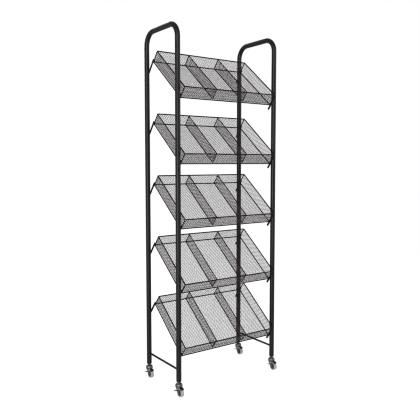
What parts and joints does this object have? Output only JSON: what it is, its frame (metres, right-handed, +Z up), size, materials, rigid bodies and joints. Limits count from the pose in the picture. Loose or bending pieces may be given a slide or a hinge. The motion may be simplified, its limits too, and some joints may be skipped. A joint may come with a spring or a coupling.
{
  "type": "mobile stacking basket rack",
  "caption": "Tall mobile display rack: bent round-tube side frames on braked swivel casters carry sloping wire-mesh baskets with dividers, open at the top.",
  "frame": {"origin": "on the floor, in the middle of the footprint box of the whole rack", "axes": "+Z up; -Y towards the front, to which the baskets slope down; +X to the right, seen from the front"},
  "size_m": [0.6622, 0.3526, 1.8288],
  "materials": {
    "powder_coat": "satin black powder coat on steel tube and rod",
    "basket_wire": "satin black powder coat on steel wire",
    "basket_mesh": "satin black powder coat on diamond mesh",
    "divider_mesh": "satin black powder coat on diamond mesh",
    "zinc_plate": "bright zinc plate",
    "black_plastic": "moulded, satin",
    "core_plastic": "moulded, satin",
    "tyre_rubber": "smooth grey rubber"
  },
  "bodies": {
    "rack_frame": {"left_side_frame": "powder_coat", "left_cross_rod": "powder_coat", "right_side_frame": "powder_coat", "right_cross_rod": "powder_coat", "front_left_plug": "black_plastic", "front_left_stem": "zinc_plate", "front_right_plug": "black_plastic", "front_right_stem": "zinc_plate", "rear_left_plug": "black_plastic", "rear_left_stem": "zinc_plate", "rear_right_plug": "black_plastic", "rear_right_stem": "zinc_plate"},
    "basket_1": {"basket_1_wire_frame": "basket_wire", "basket_1_mesh_tray": "basket_mesh", "basket_1_divider_1": "divider_mesh", "basket_1_divider_2": "divider_mesh"},
    "basket_2": {"basket_2_wire_frame": "basket_wire", "basket_2_mesh_tray": "basket_mesh", "basket_2_divider_1": "divider_mesh", "basket_2_divider_2": "divider_mesh"},
    "basket_3": {"basket_3_wire_frame": "basket_wire", "basket_3_mesh_tray": "basket_mesh", "basket_3_divider_1": "divider_mesh", "basket_3_divider_2": "divider_mesh"},
    "basket_4": {"basket_4_wire_frame": "basket_wire", "basket_4_mesh_tray": "basket_mesh", "basket_4_divider_1": "divider_mesh", "basket_4_divider_2": "divider_mesh"},
    "basket_5": {"basket_5_wire_frame": "basket_wire", "basket_5_mesh_tray": "basket_mesh", "basket_5_divider_1": "divider_mesh", "basket_5_divider_2": "divider_mesh"},
    "front_left_caster": {"front_left_fork": "zinc_plate", "front_left_axle": "zinc_plate"},
    "front_left_wheel": {"front_left_wheel_core": "core_plastic", "front_left_tyre": "tyre_rubber"},
    "front_left_brake": {"front_left_brake_lever": "zinc_plate", "front_left_brake_shoe": "black_plastic"},
    "front_right_caster": {"front_right_fork": "zinc_plate", "front_right_axle": "zinc_plate"},
    "front_right_wheel": {"front_right_wheel_core": "core_plastic", "front_right_tyre": "tyre_rubber"},
    "front_right_brake": {"front_right_brake_lever": "zinc_plate", "front_right_brake_shoe": "black_plastic"},
    "rear_left_caster": {"rear_left_fork": "zinc_plate", "rear_left_axle": "zinc_plate"},
    "rear_left_wheel": {"rear_left_wheel_core": "core_plastic", "rear_left_tyre": "tyre_rubber"},
    "rear_left_brake": {"rear_left_brake_lever": "zinc_plate", "rear_left_brake_shoe": "black_plastic"},
    "rear_right_caster": {"rear_right_fork": "zinc_plate", "rear_right_axle": "zinc_plate"},
    "rear_right_wheel": {"rear_right_wheel_core": "core_plastic", "rear_right_tyre": "tyre_rubber"},
    "rear_right_brake": {"rear_right_brake_lever": "zinc_plate", "rear_right_brake_shoe": "black_plastic"}
  },
  "joints": [
    {"name": "basket_1_lift", "type": "slide", "parent": "rack_frame", "child": "basket_1", "axis": [0, 0, 1], "range_m": [0, 0.03]},
    {"name": "basket_2_lift", "type": "slide", "parent": "rack_frame", "child": "basket_2", "axis": [0, 0, 1], "range_m": [0, 0.03]},
    {"name": "basket_3_lift", "type": "slide", "parent": "rack_frame", "child": "basket_3", "axis": [0, 0, 1], "range_m": [0, 0.03]},
    {"name": "basket_4_lift", "type": "slide", "parent": "rack_frame", "child": "basket_4", "axis": [0, 0, 1], "range_m": [0, 0.03]},
    {"name": "basket_5_lift", "type": "slide", "parent": "rack_frame", "child": "basket_5", "axis": [0, 0, 1], "range_m": [0, 0.03]},
    {"name": "front_left_swivel", "type": "hinge", "parent": "rack_frame", "child": "front_left_caster", "pos_m": [-0.29758, -0.14033, 0.0465], "axis": [0, 0, 1], "continuous": true},
    {"name": "front_left_wheel_spin", "type": "hinge", "parent": "front_left_caster", "child": "front_left_wheel", "pos_m": [-0.29758, -0.15533, 0.021], "axis": [1, 0, 0], "continuous": true},
    {"name": "front_left_brake_press", "type": "hinge", "parent": "front_left_caster", "child": "front_left_brake", "pos_m": [-0.29758, -0.14033, 0.035], "axis": [1, 0, 0], "range_deg": [0, 6]},
    {"name": "front_right_swivel", "type": "hinge", "parent": "rack_frame", "child": "front_right_caster", "pos_m": [0.31342, -0.14033, 0.0465], "axis": [0, 0, 1], "continuous": true},
    {"name": "front_right_wheel_spin", "type": "hinge", "parent": "front_right_caster", "child": "front_right_wheel", "pos_m": [0.31342, -0.15533, 0.021], "axis": [1, 0, 0], "continuous": true},
    {"name": "front_right_brake_press", "type": "hinge", "parent": "front_right_caster", "child": "front_right_brake", "pos_m": [0.31342, -0.14033, 0.035], "axis": [1, 0, 0], "range_deg": [0, 6]},
    {"name": "rear_left_swivel", "type": "hinge", "parent": "rack_frame", "child": "rear_left_caster", "pos_m": [-0.29758, 0.15867, 0.0465], "axis": [0, 0, 1], "continuous": true},
    {"name": "rear_left_wheel_spin", "type": "hinge", "parent": "rear_left_caster", "child": "rear_left_wheel", "pos_m": [-0.29758, 0.14367, 0.021], "axis": [1, 0, 0], "continuous": true},
    {"name": "rear_left_brake_press", "type": "hinge", "parent": "rear_left_caster", "child": "rear_left_brake", "pos_m": [-0.29758, 0.15867, 0.035], "axis": [1, 0, 0], "range_deg": [0, 6]},
    {"name": "rear_right_swivel", "type": "hinge", "parent": "rack_frame", "child": "rear_right_caster", "pos_m": [0.31342, 0.15867, 0.0465], "axis": [0, 0, 1], "continuous": true},
    {"name": "rear_right_wheel_spin", "type": "hinge", "parent": "rear_right_caster", "child": "rear_right_wheel", "pos_m": [0.31342, 0.14367, 0.021], "axis": [1, 0, 0], "continuous": true},
    {"name": "rear_right_brake_press", "type": "hinge", "parent": "rear_right_caster", "child": "rear_right_brake", "pos_m": [0.31342, 0.15867, 0.035], "axis": [1, 0, 0], "range_deg": [0, 6]}
  ]
}
